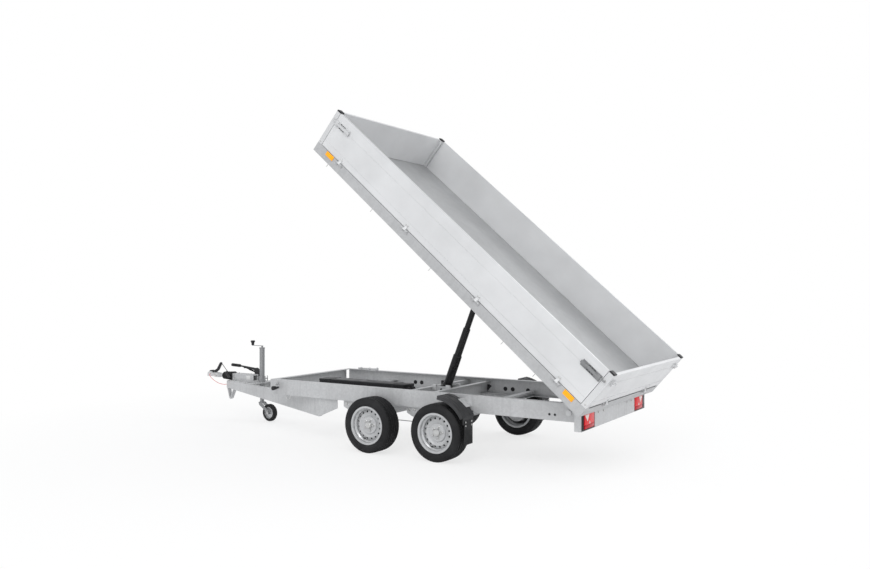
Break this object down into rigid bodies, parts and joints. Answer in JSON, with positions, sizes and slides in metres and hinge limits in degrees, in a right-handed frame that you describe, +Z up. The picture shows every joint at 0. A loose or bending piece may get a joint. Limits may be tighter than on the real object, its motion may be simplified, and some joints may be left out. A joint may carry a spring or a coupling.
{
  "type": "tandem-axle tipping trailer",
  "caption": "Two-axle tipping trailer: steel chassis and drawbar, telescopic cylinder, and a raised drop-side bed on rear pivots, parked on its jockey wheel.",
  "frame": {"origin": "on the ground, below the middle of the whole trailer's box with its bed raised", "axes": "+X towards the tailboard, +Y to the trailer's right, +Z up"},
  "size_m": [5.5548, 1.931, 3.2637],
  "materials": {
    "galvanised": "hot-dip galvanised, faint spangle",
    "board_aluminium": "satin anodised",
    "floor_steel": "galvanised sheet, lightly scuffed",
    "cast_grey": "zinc plated casting",
    "rim_silver": "satin silver paint",
    "tyre_rubber": "matt black rubber",
    "black_plastic": "grained black plastic",
    "black_rubber": "matt rubber",
    "black_paint": "satin black paint",
    "amber_lens": "clear amber lens over prisms",
    "red_lens": "clear red lens over prisms",
    "red_cable": "red plastic sheath"
  },
  "bodies": {
    "chassis": {"side_beam_left": "galvanised", "side_beam_right": "galvanised", "front_crossbeam": "galvanised", "cradle_members": "galvanised", "rear_lamp_panel": "galvanised", "drawbar_left": "galvanised", "drawbar_right": "galvanised", "drawbar_head": "galvanised", "overrun_housing": "cast_grey", "coupling_head": "cast_grey", "coupling_handle": "black_plastic", "gaiter": "black_rubber", "handbrake_lever": "black_plastic", "breakaway_cable": "red_cable", "jockey_tube": "galvanised", "axle_front": "galvanised", "axle_rear": "galvanised", "axle_brackets": "galvanised", "mudguard_left": "black_plastic", "mudguard_right": "black_plastic", "mudflap_left": "black_rubber", "mudflap_right": "black_rubber", "pump_box": "black_plastic", "lamp_left": "red_lens", "lamp_right": "red_lens", "brake_rods": "galvanised", "lock_pin_left": "black_plastic", "lock_pin_right": "black_plastic"},
    "wheel_front_left": {"tyre_front_left": "tyre_rubber", "rim_front_left": "rim_silver"},
    "wheel_front_right": {"tyre_front_right": "tyre_rubber", "rim_front_right": "rim_silver"},
    "wheel_rear_left": {"tyre_rear_left": "tyre_rubber", "rim_rear_left": "rim_silver"},
    "wheel_rear_right": {"tyre_rear_right": "tyre_rubber", "rim_rear_right": "rim_silver"},
    "jockey_leg": {"jockey_leg": "galvanised"},
    "jockey_fork": {"jockey_fork": "galvanised"},
    "jockey_wheel": {"jockey_rim": "rim_silver", "jockey_tyre": "tyre_rubber"},
    "cylinder": {"cylinder_barrel": "black_paint"},
    "stage_1": {"cylinder_stage_1": "black_paint"},
    "stage_2": {"cylinder_stage_2": "black_paint"},
    "stage_3": {"cylinder_stage_3": "black_paint"},
    "rod": {"cylinder_rod": "black_paint"},
    "bed": {"bed_frame": "galvanised", "bed_floor": "floor_steel", "headboard": "board_aluminium", "corner_posts": "board_aluminium", "post_caps": "black_plastic", "reflectors": "amber_lens"},
    "side_left": {"side_board_left": "board_aluminium"},
    "side_right": {"side_board_right": "board_aluminium"},
    "tailgate": {"tailboard": "board_aluminium"}
  },
  "joints": [
    {"name": "bed_tip", "type": "hinge", "parent": "chassis", "child": "bed", "pos_m": [2.34655, 0, 0.56], "axis": [0, 1, 0], "range_deg": [-40.8, 4.2]},
    {"name": "side_left_drop", "type": "hinge", "parent": "bed", "child": "side_left", "pos_m": [2.44522, -0.9575, 0.67431], "axis": [-0.757, 0, 0.6534], "range_deg": [-180, 0]},
    {"name": "side_right_drop", "type": "hinge", "parent": "bed", "child": "side_right", "pos_m": [2.44522, 0.9575, 0.67431], "axis": [0.757, 0, -0.6534], "range_deg": [-180, 0]},
    {"name": "tailboard_drop", "type": "hinge", "parent": "bed", "child": "tailgate", "pos_m": [2.54363, 0, 0.58936], "axis": [0, -1, 0], "range_deg": [-150, 0]},
    {"name": "front_left_spin", "type": "hinge", "parent": "chassis", "child": "wheel_front_left", "pos_m": [0.32055, -0.8, 0.2625], "axis": [0, 1, 0], "continuous": true},
    {"name": "front_right_spin", "type": "hinge", "parent": "chassis", "child": "wheel_front_right", "pos_m": [0.32055, 0.8, 0.2625], "axis": [0, 1, 0], "continuous": true},
    {"name": "rear_left_spin", "type": "hinge", "parent": "chassis", "child": "wheel_rear_left", "pos_m": [1.08255, -0.8, 0.2625], "axis": [0, 1, 0], "continuous": true},
    {"name": "rear_right_spin", "type": "hinge", "parent": "chassis", "child": "wheel_rear_right", "pos_m": [1.08255, 0.8, 0.2625], "axis": [0, 1, 0], "continuous": true},
    {"name": "jockey_height", "type": "slide", "parent": "chassis", "child": "jockey_leg", "axis": [0, 0, 1], "range_m": [-0.06, 0.12]},
    {"name": "jockey_swivel", "type": "hinge", "parent": "jockey_leg", "child": "jockey_fork", "pos_m": [-1.87845, 0, 0.2], "axis": [0, 0, 1], "continuous": true},
    {"name": "jockey_spin", "type": "hinge", "parent": "jockey_fork", "child": "jockey_wheel", "pos_m": [-1.75345, 0, 0.1], "axis": [0, 1, 0], "continuous": true},
    {"name": "cylinder_swing", "type": "hinge", "parent": "chassis", "child": "cylinder", "pos_m": [0.66155, 0, 0.54], "axis": [0, 1, 0], "range_deg": [-22.04, 2.72]},
    {"name": "stage_1_slide", "type": "slide", "parent": "cylinder", "child": "stage_1", "axis": [0.3671, 0, 0.9302], "range_m": [-0.29497, 0.03306]},
    {"name": "stage_2_slide", "type": "slide", "parent": "stage_1", "child": "stage_2", "axis": [0.3671, 0, 0.9302], "range_m": [-0.29497, 0.03306]},
    {"name": "stage_3_slide", "type": "slide", "parent": "stage_2", "child": "stage_3", "axis": [0.3671, 0, 0.9302], "range_m": [-0.29497, 0.03306]},
    {"name": "rod_slide", "type": "slide", "parent": "stage_3", "child": "rod", "axis": [0.3671, 0, 0.9302], "range_m": [-0.29497, 0.03306]}
  ],
  "couplings": [
    {"joint": "cylinder_swing", "follows": "bed_tip", "ratio": 0.5279},
    {"joint": "stage_1_slide", "follows": "bed_tip", "m_per_rad": 0.41001},
    {"joint": "stage_2_slide", "follows": "bed_tip", "m_per_rad": 0.41001},
    {"joint": "stage_3_slide", "follows": "bed_tip", "m_per_rad": 0.41001},
    {"joint": "rod_slide", "follows": "bed_tip", "m_per_rad": 0.41001}
  ]
}
